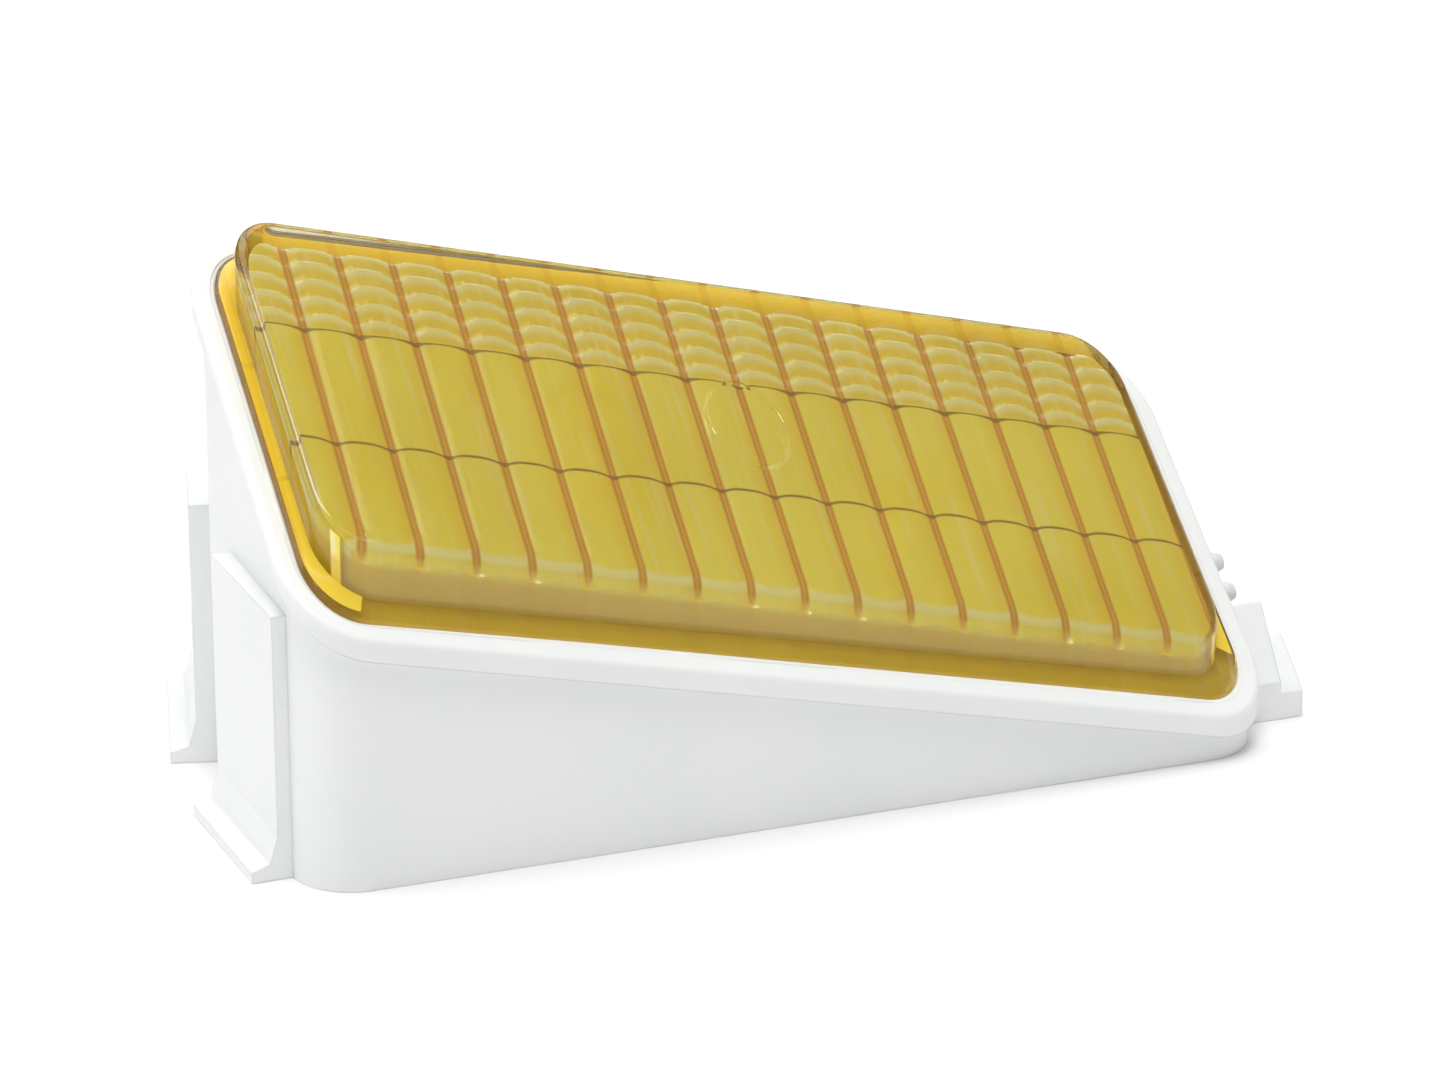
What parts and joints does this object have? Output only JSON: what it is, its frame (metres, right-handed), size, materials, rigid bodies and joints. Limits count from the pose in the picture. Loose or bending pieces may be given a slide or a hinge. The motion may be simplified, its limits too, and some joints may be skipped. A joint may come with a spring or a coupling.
{
  "type": "front fog lamp",
  "caption": "Vehicle fog lamp with a fluted amber glass lens in a white wedge-shaped housing that lies on its flat back, with an aimable reflector and bulb inside.",
  "frame": {"origin": "on the flat back of the housing, straight below the middle of the lens opening", "axes": "+Z out of the back towards the lens, +X along the housing's length towards its low end, +Y towards the lens's upper edge"},
  "size_m": [0.2196, 0.118, 0.11],
  "materials": {
    "housing_plastic": "moulded white, semi-gloss",
    "amber_glass": "pressed amber glass with flutes",
    "sealant": "white sealant bead",
    "reflector_coat": "vacuum aluminised",
    "steel": "zinc plated",
    "nylon": "natural nylon",
    "seal_rubber": "black rubber",
    "bulb_metal": "nickel plated",
    "clear_glass": "clear quartz",
    "tungsten": "dull grey wire",
    "wire_insulation": "black insulation",
    "brass_parts": "plain",
    "cap_plastic": "moulded black",
    "breather_rubber": "pale grey rubber"
  },
  "bodies": {
    "housing": {"housing": "housing_plastic", "lens_glass": "amber_glass", "lens_seal": "sealant", "left_pivot_pin": "steel", "right_pivot_pin": "steel", "screw_seal": "seal_rubber", "cable_grommet": "seal_rubber", "breather_caps": "breather_rubber", "foot_inserts": "brass_parts"},
    "reflector": {"reflector": "reflector_coat", "pivot_bushes": "nylon", "bulb_base": "bulb_metal", "bulb_glass": "clear_glass", "bulb_filament": "tungsten", "bulb_shield": "reflector_coat", "shield_rivets": "bulb_metal", "clip_bracket": "steel", "bracket_rivet": "bulb_metal", "bulb_lead": "wire_insulation", "lead_connector": "nylon", "connector_blade": "brass_parts"},
    "bulb_clip": {"bulb_clip": "steel"},
    "adjust_screw": {"adjust_screw": "nylon", "screw_clip": "steel"},
    "adjust_nut": {"adjust_nut": "nylon"},
    "access_cap": {"access_cap": "cap_plastic", "cap_gasket": "seal_rubber"}
  },
  "joints": [
    {"name": "reflector_tilt", "type": "hinge", "parent": "housing", "child": "reflector", "pos_m": [0, 0.002, 0.02], "axis": [1, 0, 0], "range_deg": [-2.5, 2.5]},
    {"name": "adjust_turn", "type": "hinge", "parent": "housing", "child": "adjust_screw", "pos_m": [-0.032, 0.052, 0], "axis": [0, 0, 1], "range_deg": [-400, 400]},
    {"name": "adjust_nut_slide", "type": "slide", "parent": "housing", "child": "adjust_nut", "axis": [0, 0, 1], "range_m": [-0.0022, 0.0022]},
    {"name": "bulb_clip_swing", "type": "hinge", "parent": "reflector", "child": "bulb_clip", "pos_m": [-0.032, -0.009, 0.02175], "axis": [1, 0, 0], "range_deg": [-28, 0]},
    {"name": "access_cap_twist", "type": "hinge", "parent": "housing", "child": "access_cap", "pos_m": [-0.032, 0.006, 0.003], "axis": [0, 0, 1], "range_deg": [0, 35]}
  ],
  "couplings": [
    {"joint": "adjust_turn", "follows": "reflector_tilt", "ratio": -157.08},
    {"joint": "adjust_nut_slide", "follows": "reflector_tilt", "m_per_rad": 0.05}
  ]
}
